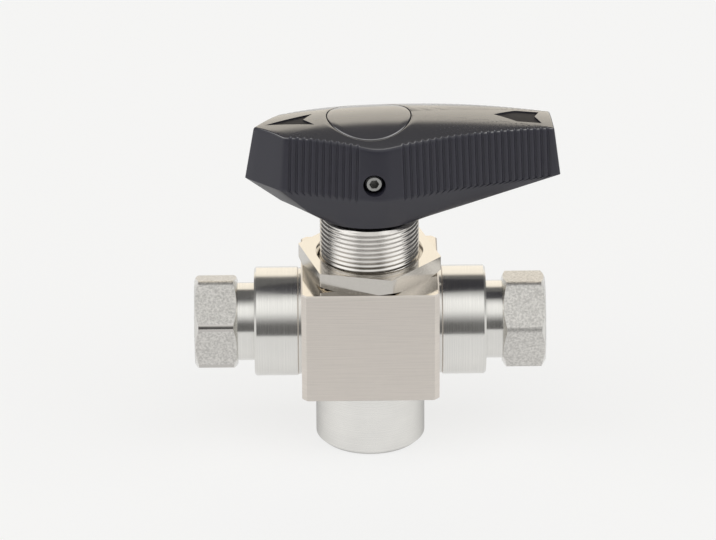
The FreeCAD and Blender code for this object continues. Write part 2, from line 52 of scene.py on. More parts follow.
# Threads: a profile is pairs of a share of the pitch and a share of the depth
neck_pitch = 1.411
neck_thread_depth = 0.46
neck_thread_start = 0.3
neck_thread_columns = 160
neck_core_radius = 13.3
neck_sleeve_radius = neck_core_radius - 0.05
port_pitch = 1.411
port_thread_depth = 1.0
port_thread_length = 10.5
port_thread_columns = 96
port_opening_radius = port_radius + 1.4
port_sleeve_radius = port_radius + 1.45
thread_flank = ((0.07, 0.03), (0.13, 0.14), (0.2, 0.34), (0.3, 0.64), (0.38, 0.87), (0.45, 0.98))
thread_return = tuple((1.0 - phase, share) for phase, share in reversed(thread_flank))
thread_profile = ((0.0, 0.0), *thread_flank, *thread_return)

# Cutters, and how far they reach past what they cut
turned_columns = 96
cutter_overrun = 1.0
neck_cutter_overrun = 2.0
neck_cutter_clearance = 0.02
rounder_overrun = 0.2
hex_cutter_clearance = 0.01
hex_cutter_steps = 8
hex_cutter_spread = 1.6

# Welding in metres, and the angles from which an edge shows sharp
weld_distance = 1e-6
shortest_edge = 1e-7
plain_smooth_angle = 30.0
thread_smooth_angle = 40.0
handle_smooth_angle = 38.0
cap_smooth_angle = 50.0

# Margins by which faces are told apart for their material
face_margin = 0.05
hex_end_margin = 0.3
hex_flat_margin = 0.2
hex_edge_margin = 0.1
nut_flat_margin = 0.5
arrow_cap_margin = 1.0
arrow_reach = 4.0
crown_skin = 0.3

# Handle
handle_turn = 4.7
handle_bottom = 72.1
hub_foot_length = 33.0
hub_foot_width = 27.4
hub_foot_shift = 0.6
hub_foot_split = 40.0
hull_break_height = 3.9
hull_break_tip = -25.8
hull_break_cheek = (-17.9, 9.6)
grip_bottom = 83.4
grip_bottom_sag = 1.0
grip_bottom_rise = 0.2
sag_centre = 1.9
sag_spread = 14.0
grip_top = 98.3
draft_angle = 7.0
hub_grip_radius = 15.5
hub_grip_shift = 1.9
hub_steps = 16
nose_reach = 33.25
nose_half_angle = 46.1
nose_side_lean = 16.2
tail_reach = 52.5
tail_side_lean = 11.0
crown_top = 101.8
crown_cross_radius = 29.5
crown_nose_radius = 218.0
crown_tail_radius = 370.0
crown_cross_limit = 0.95
crown_edge_tries = 12
crown_edge_clearance = 0.02
top_edge_radius = 0.75
corner_rounding = 0.5
rib_pitch = 1.95
rib_depth = 0.5
rib_samples = 12
groove_floor_share = 0.04
groove_side_share = 0.29
nose_rib_start = 4.6
nose_rib_end = 24.5
tail_rib_start = 8.6
tail_rib_end = 51.8
hub_cavity_radius = 8.0
hub_cavity_top = 83.6
stop_pin_circle = 22.8
stop_slot_half_width = 1.4
stop_slot_depth = 2.4
stop_slot_steps = 40
stop_slot_end_steps = 8
set_screw_level = 87.0
set_screw_hole_radius = 3.2
set_screw_hole_ends = (-9.0, -25.0)
set_screw_hole_columns = 48
cap_radius = 11.95
cap_gap = 0.15
cap_floor = 98.4
cap_edge_rounding = 0.3
cap_edge_profile = ((0.0, 1.0), (0.1, 0.5), (0.5, 0.15))
arrow_depth = 0.45
nose_arrow = ((-29.8, 0.0), (-15.9, -3.6), (-18.8, 0.0), (-15.9, 3.6))
tail_arrow = ((35.8, 0.0), (42.2, -3.65), (49.2, -3.65), (47.6, 0.0), (49.2, 3.65), (42.2, 3.65))

# Surface detail: noise scales per metre, bump heights in metres, and the ranges that noises fill
turning_scale = 4200.0
brushing_scale = (60, 60, 4200)
line_height = 0.00002
line_share = 0.65
blotch_scale = 120.0
tone_range = (0.35, 0.65)
metal_unevenness = 0.05
metal_grain_scale = 1500.0
mill_pit_scale = 5200.0
mill_pit_share = 0.4
mill_grain_range = (0.38, 0.62)
mill_grain_height = 0.00018
moulding_flow_scale = 90.0
moulding_flow_height = 0.0004
moulding_grain_height = 0.00003
paper_grain_scale = 900.0

# Table, backdrop and light
table_front = 430.0
table_side = 3000.0
table_gap = 0.1
table_seen_glow = 0.72
table_reflected_glow = 0.6
backdrop_colour = (0.905, 0.904, 0.898)
ambient_colour = (0.145, 0.143, 0.14)
front_light_elevation = 55.5

# Camera, found from the photograph
camera_elevation = 26.4
camera_azimuth = -0.5
camera_roll = 0.35
camera_distance = 1739.0
camera_right = -3.34
camera_up = 14.46
focal_pixels = 6000.0
image_width = 716.0


# Mesh helpers

def make_object(name, vertices, faces, smooth_angle=plain_smooth_angle):
    """Mesh object from corners in millimetres, smooth but for its sharper edges."""
    mesh = bpy.data.meshes.new(name)
    mesh.from_pydata([tuple(c * MM for c in v) for v in vertices], [], faces)
    obj = bpy.data.objects.new(name, mesh)
    bpy.context.scene.collection.objects.link(obj)
    weld(obj)
    smooth(obj, smooth_angle)
    return obj


def weld(obj):
    """Joins corners that coincide and turns the faces outward."""
    bm = bmesh.new()
    bm.from_mesh(obj.data)
    bmesh.ops.remove_doubles(bm, verts=bm.verts, dist=weld_distance)
    bmesh.ops.dissolve_degenerate(bm, edges=bm.edges, dist=shortest_edge)
    bmesh.ops.recalc_face_normals(bm, faces=bm.faces)
    bm.to_mesh(obj.data)
    bm.free()


def smooth(obj, angle):
    """Smooth shading, except over edges sharper than the angle."""
    mesh = obj.data
    mesh.polygons.foreach_set("use_smooth", [True] * len(mesh.polygons))
    mesh.set_sharp_from_angle(angle=radians(angle))
    mesh.update()


def copy_of(node_object, name):
    """A welded copy of a solid's mesh, to cut and dress."""
    mesh = node_object.data.copy()
    mesh.materials.clear()
    obj = bpy.data.objects.new(name, mesh)
    bpy.context.scene.collection.objects.link(obj)
    if mesh.has_custom_normals:
        with bpy.context.temp_override(object=obj, active_object=obj):
            bpy.ops.mesh.customdata_custom_splitnormals_clear()
    weld(obj)
    return obj


def cut(obj, cutters, smooth_angle=plain_smooth_angle):
    """Takes each cutter out of the object and deletes the cutter."""
    for cutter in cutters:
        modifier = obj.modifiers.new("cut", "BOOLEAN")
        modifier.operation = "DIFFERENCE"
        modifier.solver = "EXACT"
        modifier.object = cutter
        bpy.context.view_layer.update()
        evaluated = obj.evaluated_get(bpy.context.evaluated_depsgraph_get())
        mesh = bpy.data.meshes.new_from_object(evaluated)
        obj.modifiers.clear()
        old = obj.data
        obj.data = mesh
        bpy.data.meshes.remove(old)
        bpy.data.objects.remove(cutter)
    smooth(obj, smooth_angle)


def ring_faces(rows, columns, close_ends=True):
    """Quads between rows of points that each close on themselves."""
    faces = []
    for r in range(rows - 1):
        for c in range(columns):
            n = (c + 1) % columns
            faces.append((r * columns + c, r * columns + n, (r + 1) * columns + n, (r + 1) * columns + c))
    if close_ends:
        faces.append(tuple(reversed(range(columns))))
        faces.append(tuple((rows - 1) * columns + c for c in range(columns)))
    return faces


def circle(radius, z, columns):
    """Points round Z at one height."""
    angles = [2 * math.pi * c / columns for c in range(columns)]
    return [(radius * math.cos(a), radius * math.sin(a), z) for a in angles]


def turned(name, profile, close_ends=True):
    """Body of revolution about Z from (radius, height) points."""
    vertices = [point for radius, z in profile for point in circle(radius, z, turned_columns)]
    return make_object(name, vertices, ring_faces(len(profile), turned_columns, close_ends))


def tube(name, inner, outer, bottom, top):
    """Closed ring with square corners."""
    profile = [(inner, bottom), (outer, bottom), (outer, top), (inner, top), (inner, bottom)]
    return turned(name, profile, close_ends=False)


def corner_cutter(flats, rounding, first_corner, bottom, top):
    """Ring that takes the long edges off a hexagon along Z and leaves them rounded."""
    half_corner = radians(30)
    centre = (flats / 2 + hex_cutter_clearance - rounding) / math.cos(half_corner)
    loop = []
    for corner in range(6):
        middle = first_corner + math.pi / 3 * corner
        for k in range(hex_cutter_steps + 1):
            a = middle + half_corner * (2 * k / hex_cutter_steps - 1)
            x = centre * math.cos(middle) + rounding * math.cos(a)
            y = centre * math.sin(middle) + rounding * math.sin(a)
            loop.append((x, y))
    outer = [(x * hex_cutter_spread, y * hex_cutter_spread) for x, y in loop]
    rows = [(loop, bottom), (outer, bottom), (outer, top), (loop, top), (loop, bottom)]
    vertices = [(x, y, z) for ring, z in rows for x, y in ring]
    return make_object("corner_cutter", vertices, ring_faces(len(rows), len(loop), close_ends=False))


def place(obj, side):
    """Turns a mesh made along +Z to run out along X through the port axis."""
    for v in obj.data.vertices:
        x, y, z = v.co
        v.co = (side * z, y, port_axis_height * MM - side * x)
    obj.data.update()
    return obj


def thread(name, crest, depth, wall, pitch, bottom, top, limit, around):
    """Sleeve with a helical vee thread on the side away from its plain wall.

    Limit is a function that keeps a radius clear of a chamfer at its height, and around is how
    many columns the sleeve has.
    """
    turns = int((top - bottom) / pitch) + 3
    steps = len(thread_profile)
    rows = []
    for j in range(turns * steps):
        phase, share = thread_profile[j % steps]
        row = []
        for c in range(around + 1):
            a = 2 * math.pi * c / around
            z = bottom - pitch + (j // steps + phase + c / around) * pitch
            z = min(max(z, bottom), top)
            r = limit(z, crest + share * depth)
            row.append((r * math.cos(a), r * math.sin(a), z))
        rows.append(row)
    columns = around + 1
    vertices = [p for row in rows for p in row]
    faces = []
    for r in range(len(rows) - 1):
        for c in range(around):
            k = r * columns + c
            faces.append((k, k + 1, k + 1 + columns, k + columns))
    base = len(vertices)
    vertices += circle(wall, bottom, around) + circle(wall, top, around)
    last = (len(rows) - 1) * columns
    for c in range(around):
        n = (c + 1) % around
        faces.append((base + c, base + n, base + around + n, base + around + c))
        faces.append((c, c + 1, base + n, base + c))
        faces.append((last + c, last + c + 1, base + around + n, base + around + c))
    return make_object(name, vertices, faces, thread_smooth_angle)


# Materials

def cleared_tree(owner):
    """The node tree of a material or world, emptied."""
    owner.use_nodes = True
    owner.node_tree.nodes.clear()
    return owner.node_tree


def new_material(name):
    """Material with one shader, its tree and that shader."""
    material = bpy.data.materials.new(name)
    tree = cleared_tree(material)
    shader = tree.nodes.new("ShaderNodeBsdfPrincipled")
    add(tree, "ShaderNodeOutputMaterial", {"Surface": shader.outputs["BSDF"]})
    return material, tree, shader


def feed(tree, node, inputs):
    """Gives each input a value, or the socket that feeds it."""
    for key, value in inputs.items():
        if isinstance(value, bpy.types.NodeSocket):
            tree.links.new(value, node.inputs[key])
        else:
            node.inputs[key].default_value = value


def add(tree, kind, inputs=None, **settings):
    """New node with its settings and inputs."""
    node = tree.nodes.new(kind)
    for key, value in settings.items():
        setattr(node, key, value)
    feed(tree, node, inputs or {})
    return node


def math_node(tree, operation, a, b=0.0):
    return add(tree, "ShaderNodeMath", {0: a, 1: b}, operation=operation).outputs[0]


def vector_math(tree, operation, inputs, output="Vector"):
    return add(tree, "ShaderNodeVectorMath", inputs, operation=operation).outputs[output]


def weighted_sum(tree, first, first_share, second, second_share):
    """Two values added, each times its share."""
    return math_node(
        tree, "ADD", math_node(tree, "MULTIPLY", first, first_share),
        math_node(tree, "MULTIPLY", second, second_share))


def coordinates(tree):
    """The object's own coordinates in metres."""
    return add(tree, "ShaderNodeTexCoord").outputs["Object"]


def stretched(tree, scale):
    """The object's own coordinates times a scale for each axis."""
    return add(tree, "ShaderNodeMapping", {"Vector": coordinates(tree), "Scale": scale}).outputs["Vector"]


def noise(tree, scale, detail=2.0, rough=0.5, vector=None):
    """Noise over a vector, or else over the object's own coordinates."""
    source = coordinates(tree) if vector is None else vector
    inputs = {"Vector": source, "Scale": scale, "Detail": detail, "Roughness": rough}
    return add(tree, "ShaderNodeTexNoise", inputs).outputs["Fac"]


def spread(tree, value, low, high, start=0.3, end=0.7):
    """Maps the range in which a noise mostly lies to the one from low to high."""
    inputs = {"Value": value, "From Min": start, "From Max": end, "To Min": low, "To Max": high}
    return add(tree, "ShaderNodeMapRange", inputs).outputs["Result"]


def colour_between(tree, factor, first, second):
    inputs = {"Factor": factor, "A": (*first, 1.0), "B": (*second, 1.0)}
    return add(tree, "ShaderNodeMix", inputs, data_type="RGBA").outputs["Result"]


def bump(tree, height, strength, distance, normal=None):
    inputs = {"Height": height, "Strength": strength, "Distance": distance}
    if normal is not None:
        inputs["Normal"] = normal
    return add(tree, "ShaderNodeBump", inputs).outputs["Normal"]


def shaded(tree, factor, colour, dark, light):
    """A colour that runs from its dark to its light share."""
    ends = [tuple(c * share for c in colour) for share in (dark, light)]
    return colour_between(tree, factor, *ends)


def turning_lines(tree, axis, centre):
    """Fine lines round an axis: along a cylinder, and in rings on its end faces."""
    offset = vector_math(tree, "SUBTRACT", {0: coordinates(tree), 1: centre})
    along = vector_math(tree, "DOT_PRODUCT", {0: offset, 1: axis}, "Value")
    mask = tuple(1.0 - abs(a) for a in axis)
    across = vector_math(tree, "MULTIPLY", {0: offset, 1: mask})
    radius = vector_math(tree, "LENGTH", {0: across}, "Value")
    inputs = {"W": math_node(tree, "ADD", along, radius), "Scale": turning_scale, "Detail": 2.0}
    return add(tree, "ShaderNodeTexNoise", inputs, noise_dimensions="1D").outputs["Fac"]


def brushed_lines(tree):
    """Fine level lines on upright faces."""
    return noise(tree, 1.0, 3.0, vector=stretched(tree, brushing_scale))


def metal(name, colour, roughness, lines, tangent_axis, anisotropy, line_bump, line_contrast, edge=1.0):
    """Steel whose fine lines run round the tangent axis.

    Lines is a function that draws them, and an edge below 1 dims what shows at a grazing angle.
    """
    material, tree, shader = new_material(name)
    streak = lines(tree)
    blotch = noise(tree, blotch_scale, 3.0)
    tone = weighted_sum(tree, streak, line_share, blotch, 1.0 - line_share)
    factor = spread(tree, tone, 0.0, 1.0, *tone_range)
    limits = (roughness - metal_unevenness, roughness + metal_unevenness)
    tangent = add(tree, "ShaderNodeTangent", direction_type="RADIAL", axis=tangent_axis)
    feed(tree, shader, {
        "Base Color": shaded(tree, factor, colour, 1.0 - line_contrast, 1.0 + line_contrast),
        "Roughness": spread(tree, tone, *limits, *tone_range),
        "Normal": bump(tree, streak, line_bump, line_height),
        "Metallic": 1.0,
        "Anisotropic": anisotropy,
        "Anisotropic Rotation": 0.25,
        "Specular Tint": (edge, edge, edge, 1.0),
        "Tangent": tangent.outputs["Tangent"],
    })
    return material


def turned_metal(name, colour, roughness, axis, line_bump, anisotropy=0.75, line_contrast=0.06, edge=1.0):
    """Steel turned about the port axis, X, or about the stem, Z."""
    direction = (1, 0, 0) if axis == "X" else (0, 0, 1)
    centre = (0.0, 0.0, port_axis_height * MM if axis == "X" else 0.0)
    return metal(
        name, colour, roughness, lambda tree: turning_lines(tree, direction, centre), axis,
        anisotropy, line_bump, line_contrast, edge)


def ground_metal(name, colour, roughness):
    """Flat ground steel with level brushing on its upright faces."""
    return metal(
        name, colour, roughness, brushed_lines, "Z", anisotropy=0.8, line_bump=0.3, line_contrast=0.07)


def drawn_metal(name, colour):
    """Hexagonal bar as it leaves the mill: a coarse blasted grain on its flats."""
    material, tree, shader = new_material(name)
    grain = noise(tree, metal_grain_scale, 3.0, 0.65)
    pits = noise(tree, mill_pit_scale, 1.0)
    height = math_node(tree, "ADD", grain, math_node(tree, "MULTIPLY", pits, mill_pit_share))
    factor = spread(tree, grain, 0.0, 1.0, *mill_grain_range)
    feed(tree, shader, {
        "Base Color": shaded(tree, factor, colour, 0.82, 1.12),
        "Roughness": spread(tree, grain, 0.42, 0.32, *mill_grain_range),
        "Normal": bump(tree, height, 0.7, mill_grain_height),
        "Metallic": 1.0,
    })
    return material


def plain_metal(name, colour, roughness):
    """Metal with a fine grain and no lines."""
    material, tree, shader = new_material(name)
    grain = noise(tree, metal_grain_scale, 3.0)
    feed(tree, shader, {
        "Base Color": shaded(tree, grain, colour, 0.9, 1.08),
        "Roughness": spread(tree, grain, roughness - 0.05, roughness + 0.06),
        "Normal": bump(tree, grain, 0.15, line_height),
        "Metallic": 1.0,
    })
    return material


def moulded_plastic(name, colour, roughness, grain_strength, grain_scale=1800.0, specular=0.5, polish=None):
    """Moulded plastic with a fine eroded grain and a slow unevenness.

    Polish adds a glossy skin of that refractive index.
    """
    material, tree, shader = new_material(name)
    grain = noise(tree, grain_scale, 3.0)
    flow = noise(tree, moulding_flow_scale)
    broad = bump(tree, flow, 0.12, moulding_flow_height)
    feed(tree, shader, {
        "Base Color": shaded(tree, flow, colour, 0.88, 1.12),
        "Roughness": spread(tree, flow, roughness - 0.04, roughness + 0.04),
        "Normal": bump(tree, grain, grain_strength, moulding_grain_height, broad),
        "Specular IOR Level": specular,
    })
    if polish:
        feed(tree, shader, {"Coat Weight": 1.0, "Coat IOR": polish, "Coat Roughness": 0.12})
    return material


steel_turned_side = turned_metal("steel_turned_side", (0.765, 0.755, 0.73), 0.22, "X", line_bump=0.2)
steel_turned_up = turned_metal(
    "steel_turned_up", (0.82, 0.81, 0.785), 0.2, "Z",
    line_bump=0.2, anisotropy=0.6, line_contrast=0.07, edge=0.62)
steel_thread = turned_metal("steel_thread", (0.60, 0.58, 0.555), 0.14, "Z", line_bump=0.1, anisotropy=0.2)
steel_nut = turned_metal(
    "steel_nut", (0.76, 0.73, 0.68), 0.12, "Z", line_bump=0.06, anisotropy=0.0, line_contrast=0.03)
steel_ground = ground_metal("steel_ground", (0.745, 0.695, 0.645), 0.34)
steel_drawn = drawn_metal("steel_drawn", (0.665, 0.65, 0.625))
steel_faced = plain_metal("steel_faced", (0.76, 0.72, 0.66), 0.1)
steel_nut_flat = plain_metal("steel_nut_flat", (0.60, 0.575, 0.54), 0.2)
# Painted shade: a darker plain steel for the left screw's rounded hex edges, drawing the dark line between
# its flats
steel_edge_painted_shade = plain_metal("steel_edge_painted_shade", (0.56, 0.54, 0.52), 0.12)
steel_spring = plain_metal("steel_spring", (0.5, 0.49, 0.47), 0.3)
steel_screw = plain_metal("steel_screw", (0.34, 0.34, 0.33), 0.28)
brass = plain_metal("brass_insert", (0.72, 0.52, 0.22), 0.28)
nylon = moulded_plastic("nylon_black", (0.024, 0.0235, 0.037), 0.4, grain_strength=0.12, specular=0.6)
nylon_polished = moulded_plastic(
    "nylon_black_polished", (0.016, 0.015, 0.024), 0.3, grain_strength=0.05, polish=2.8)
nylon_matt = moulded_plastic(
    "nylon_black_matt", (0.03, 0.027, 0.028), 0.62, grain_strength=0.5, grain_scale=2600.0, specular=0.35)
peek = moulded_plastic("peek_machined", (0.55, 0.44, 0.28), 0.42, grain_strength=0.1)
ptfe = moulded_plastic("ptfe_white", (0.82, 0.82, 0.79), 0.45, grain_strength=0.08)
rubber = moulded_plastic("rubber_black", (0.03, 0.03, 0.03), 0.6, grain_strength=0.2)


def dress(obj, materials, choose=None):
    """Gives an object its materials.

    Choose picks the material of each face, from the face's centre in millimetres and its normal.
    """
    obj.data.materials.clear()
    for material in materials:
        obj.data.materials.append(material)
    for polygon in obj.data.polygons:
        chosen = choose(polygon.center / MM, polygon.normal) if choose else materials[0]
        polygon.material_index = materials.index(chosen)


def hand_over(obj, body):
    """Says which body carries a piece."""
    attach(obj, body)


# Panel nut

def nut_material(centre, normal):
    """Satin on the hexagon's flats, bright turned steel on the faces and in the bore."""
    upright = abs(normal.z) < 0.3
    outside = math.hypot(centre.x, centre.y) > nut_flats / 2 - nut_flat_margin
    return steel_nut_flat if upright and outside else steel_nut


def make_panel_nut(solid):
    nut = copy_of(solid, "panel_nut_dressed")
    far = max(nut.data.vertices, key=lambda v: math.hypot(v.co.x, v.co.y)).co
    cutter = corner_cutter(
        nut_flats, nut_rounding, math.atan2(far.y, far.x),
        block_top - cutter_overrun, block_top + nut_height + cutter_overrun)
    cut(nut, [cutter])
    dress(nut, [steel_nut, steel_nut_flat], nut_material)
    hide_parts("panel_nut")
    hand_over(nut, "body")


# Valve body

def body_material(centre, normal):
    """Ground block with a faced top; its neck and bottom boss, its side bosses and its bore are turned."""
    if abs(centre.z - block_top) < face_margin and normal.z > 0.9:
        return steel_faced
    if centre.z > block_top + face_margin or centre.z < block_bottom - face_margin:
        return steel_turned_up
    if abs(centre.x) > block_width / 2 + face_margin:
        return steel_turned_side
    radius = math.hypot(centre.y, centre.z - port_axis_height)
    return steel_turned_side if abs(normal.x) < 0.5 and radius < block_bore_limit else steel_ground


def make_valve_body(solid):
    body = copy_of(solid, "body_dressed")
    neck_cutter = tube(
        "neck_cutter", neck_core_radius, neck_radius + neck_cutter_overrun,
        block_top + neck_cutter_clearance, neck_top + neck_cutter_overrun)
    port_cutter = turned(
        "port_cutter", [(port_opening_radius, -cutter_overrun), (port_opening_radius, port_thread_length)])
    cut(body, [neck_cutter, port_cutter])
    dress(body, [steel_ground, steel_turned_up, steel_turned_side, steel_faced], body_material)
    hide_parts("valve_body")
    hand_over(body, "body")

    def chamfered(z, r):
        return min(r, neck_radius - max(0.0, neck_chamfer - (neck_top - z)))

    neck = thread(
        "neck_thread", neck_radius, -neck_thread_depth, neck_sleeve_radius,
        neck_pitch, block_top - neck_thread_start, neck_top, chamfered, neck_thread_columns)
    dress(neck, [steel_thread])
    hand_over(neck, "body")

    def countersunk(z, r):
        return max(r, bottom_mouth_radius + bottom_mouth_chamfer - z)

    port = thread(
        "bottom_port_thread", port_radius, port_thread_depth, port_sleeve_radius,
        port_pitch, 0.0, port_thread_length, countersunk, port_thread_columns)
    dress(port, [steel_turned_up])
    hand_over(port, "body")


# End screws

def screw_material(centre, normal):
    """Drawn flats on the hexagon, and turned steel elsewhere. On the left one, the rounded front edges are
    painted shade: a darker plain steel that draws the dark line between the flats.
    """
    rise = centre.z - port_axis_height
    on_hex = screw_hex_start + hex_end_margin < abs(centre.x) < screw_face - hex_end_margin
    outside = math.hypot(centre.y, rise) > screw_hex_flats / 2 - hex_flat_margin
    if not on_hex or abs(normal.x) > 0.1 or not outside:
        return steel_turned_side
    reach = centre.y * normal.y + rise * normal.z
    on_edge = reach > screw_hex_flats / 2 + hex_edge_margin
    # The left screw's rounded edges that don't face up get painted shade, a darker steel
    return steel_edge_painted_shade if on_edge and centre.x < 0 and normal.z < 0.7 else steel_drawn


def make_end_screw(name, solid, side):
    screw = copy_of(solid, name + "_dressed")
    thread_start = screw_face - port_thread_length
    opening = turned(
        "opening", [(port_opening_radius, thread_start), (port_opening_radius, screw_face + cutter_overrun)])
    axis_height = port_axis_height * MM
    far = max(screw.data.vertices, key=lambda v: math.hypot(v.co.y, v.co.z - axis_height)).co
    corner = math.atan2(far.y, -side * (far.z - axis_height))
    rounder = corner_cutter(
        screw_hex_flats, screw_hex_rounding, corner,
        screw_hex_start - rounder_overrun, screw_face + rounder_overrun)
    cut(screw, [place(opening, side), place(rounder, side)])
    dress(screw, [steel_turned_side, steel_drawn, steel_edge_painted_shade], screw_material)
    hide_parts(name)
    hand_over(screw, "body")

    def countersunk(z, r):
        return max(r, screw_mouth_radius - (screw_face - z))

    port = thread(
        name + "_port_thread", port_radius, port_thread_depth, port_sleeve_radius,
        port_pitch, thread_start, screw_face, countersunk, port_thread_columns)
    place(port, side)
    weld(port)
    smooth(port, thread_smooth_angle)
    dress(port, [steel_turned_side])
    hand_over(port, "body")


# Handle

def wall_offset(level):
    """How far out the sloped wall stands at a level, counted from its top."""
    return (grip_top - level) * math.tan(radians(draft_angle))


def unit(angle):
    """Unit vector of the plan."""
    return Vector((math.cos(radians(angle)), math.sin(radians(angle))))


nose_angle = 90 + nose_half_angle
nose_side_angle = 90 + nose_side_lean
tail_side_angle = 90 - tail_side_lean
nose_distance = nose_reach * math.sin(radians(nose_half_angle))


def flank_distance(angle, grow):
    """From the stem's axis to a flank that touches the hub."""
    return hub_grip_radius + grow + hub_grip_shift * math.cos(radians(angle))


def crossing(angle_a, distance_a, angle_b, distance_b):
    """Where two lines of the plan meet, each given by its normal and its distance."""
    a = unit(angle_a)
    b = unit(angle_b)
    det = a.x * b.y - a.y * b.x
    return Vector(((distance_a * b.y - a.y * distance_b) / det, (a.x * distance_b - distance_a * b.x) / det))


def tip_at(grow):
    return Vector((-(nose_distance + grow) / math.sin(radians(nose_half_angle)), 0.0))


def cheek_at(grow):
    return crossing(nose_angle, nose_distance + grow, nose_side_angle, flank_distance(nose_side_angle, grow))


def heel_at(grow):
    return crossing(0, tail_reach + grow, tail_side_angle, flank_distance(tail_side_angle, grow))


def crown_height(x, y):
    """Height of the crowned top over a point of the handle's plan."""
    radius = crown_nose_radius if x < 0 else crown_tail_radius
    y = min(abs(y), crown_cross_radius * crown_cross_limit)
    across = crown_top - crown_cross_radius + math.sqrt(crown_cross_radius ** 2 - y * y)
    low = crown_top - radius
    return low + math.sqrt((across - low) ** 2 - x * x)


def rib_shape(u):
    """Depth below a rib's top, from 0 to 1, at a share of the pitch from the groove's middle."""
    t = min(1.0, max(0.0, (abs(u) - groove_floor_share) / groove_side_share))
    return 1.0 - t * t * (3 - 2 * t)


def flank_columns(angle, way, first, last, corner):
    """Columns down one ribbed flank, from the hub outward: (place, depth of groove, normal)."""
    normal = unit(angle)
    along = Vector((normal.y, -normal.x)) * way
    tangent_x = flank_distance(angle, 0) * abs(normal.x)
    start = (first - tangent_x) / normal.y
    stop = (last - tangent_x) / normal.y
    grooves = int((stop - start) / rib_pitch) + 1
    places = [(along.x * hub_grip_shift, 0.0)]
    step = rib_pitch / rib_samples
    for k in range(-rib_samples // 2, (grooves - 1) * rib_samples + rib_samples // 2 + 1):
        u = (k % rib_samples) / rib_samples
        places.append((start + k * step, rib_shape(min(u, 1 - u))))
    columns = []
    for a, depth in places:
        def at(grow, a=a):
            return normal * flank_distance(angle, grow) + along * a
        columns.append((at, depth, normal))
    end = places[-1][0]

    def near_corner(grow):
        return corner(grow) - along * corner_rounding

    def halfway(grow):
        edge = along.dot(corner(grow)) - corner_rounding
        return normal * flank_distance(angle, grow) + along * ((end + edge) / 2)

    columns.append((halfway, 0.0, normal))
    columns.append((near_corner, 0.0, normal))
    return columns


def half_outline():
    """Columns of half the handle, from the tip of the nose to the middle of the tail's end."""
    nose_normal = unit(nose_angle)
    nose_along = Vector((nose_normal.y, -nose_normal.x))

    def rounded_tip(grow):
        after = tip_at(grow) + nose_along * corner_rounding
        return Vector(((tip_at(grow).x + after.x) / 2, 0.0))

    columns = [(rounded_tip, 0.0, Vector((-1.0, 0.0)))]
    for share in (0.0, 0.25, 0.5, 0.75, 1.0):
        def on_nose(grow, share=share):
            start = tip_at(grow) + nose_along * corner_rounding
            stop = cheek_at(grow) - nose_along * corner_rounding
            return start.lerp(stop, share)
        columns.append((on_nose, 0.0, nose_normal))

    flank = flank_columns(nose_side_angle, -1, nose_rib_start, nose_rib_end, cheek_at)
    before = columns[-1][0]
    after = flank[-1][0]

    def cheek(grow):
        return before(grow) * 0.25 + cheek_at(grow) * 0.5 + after(grow) * 0.25

    cheek_normal = (nose_normal + unit(nose_side_angle)).normalized()
    columns.append((cheek, 0.0, cheek_normal))
    columns += list(reversed(flank))

    for k in range(1, hub_steps):
        angle = nose_side_angle + (tail_side_angle - nose_side_angle) * k / hub_steps

        def on_hub(grow, angle=angle):
            return Vector((hub_grip_shift, 0.0)) + unit(angle) * (hub_grip_radius + grow)
        columns.append((on_hub, 0.0, unit(angle)))

    columns += flank_columns(tail_side_angle, 1, tail_rib_start, tail_rib_end, heel_at)
    last = columns[-1][0]

    def heel(grow):
        corner = heel_at(grow)
        after = corner - Vector((0, corner_rounding))
        return last(grow) * 0.25 + corner * 0.5 + after * 0.25

    columns.append((heel, 0.0, (unit(0) + unit(tail_side_angle)).normalized()))
    for share in (0.0, 0.33, 0.67, 1.0):
        def on_end(grow, share=share):
            corner = heel_at(grow)
            return Vector((corner.x, (corner.y - corner_rounding) * (1 - share)))
        columns.append((on_end, 0.0, unit(0)))
    return columns


def foot_angle(x, y):
    """Where on the hub's oval foot a point of the grip's outline runs down to."""
    grow = wall_offset(grip_bottom)
    hub = Vector((hub_grip_shift, 0))
    stations = [
        (tip_at(grow), 180.0), (cheek_at(grow), nose_angle),
        (hub + unit(nose_side_angle) * (hub_grip_radius + grow), nose_side_angle),
        (hub + unit(tail_side_angle) * (hub_grip_radius + grow), tail_side_angle),
        (heel_at(grow), hub_foot_split),
    ]
    for (a, angle_a), (b, angle_b) in zip(stations, stations[1:]):
        if x <= b.x:
            share = min(1.0, max(0.0, (x - a.x) / (b.x - a.x)))
            return angle_a + (angle_b - angle_a) * share
    share = min(1.0, max(0.0, 1.0 - y / heel_at(grow).y))
    return hub_foot_split * (1 - share)


def foot_point(angle):
    """A point of the hub's oval foot."""
    a = radians(angle)
    return Vector((hub_foot_shift + hub_foot_length / 2 * math.cos(a), hub_foot_width / 2 * math.sin(a)))


def break_point(foot, grip, angle):
    """Outline at the level where the nose's underside changes slope."""
    share = hull_break_height / (grip_bottom - handle_bottom)
    tip = Vector((hull_break_tip, 0.0))
    cheek = Vector(hull_break_cheek)
    grow = wall_offset(grip_bottom)
    tangent_grip = Vector((hub_grip_shift, 0)) + unit(nose_side_angle) * (hub_grip_radius + grow)
    tangent = foot_point(nose_side_angle).lerp(tangent_grip, share)
    if angle >= nose_angle:
        return tip.lerp(cheek, (180.0 - angle) / (180.0 - nose_angle))
    if angle >= nose_side_angle:
        return cheek.lerp(tangent, (nose_angle - angle) / (nose_angle - nose_side_angle))
    return foot.lerp(grip, share)


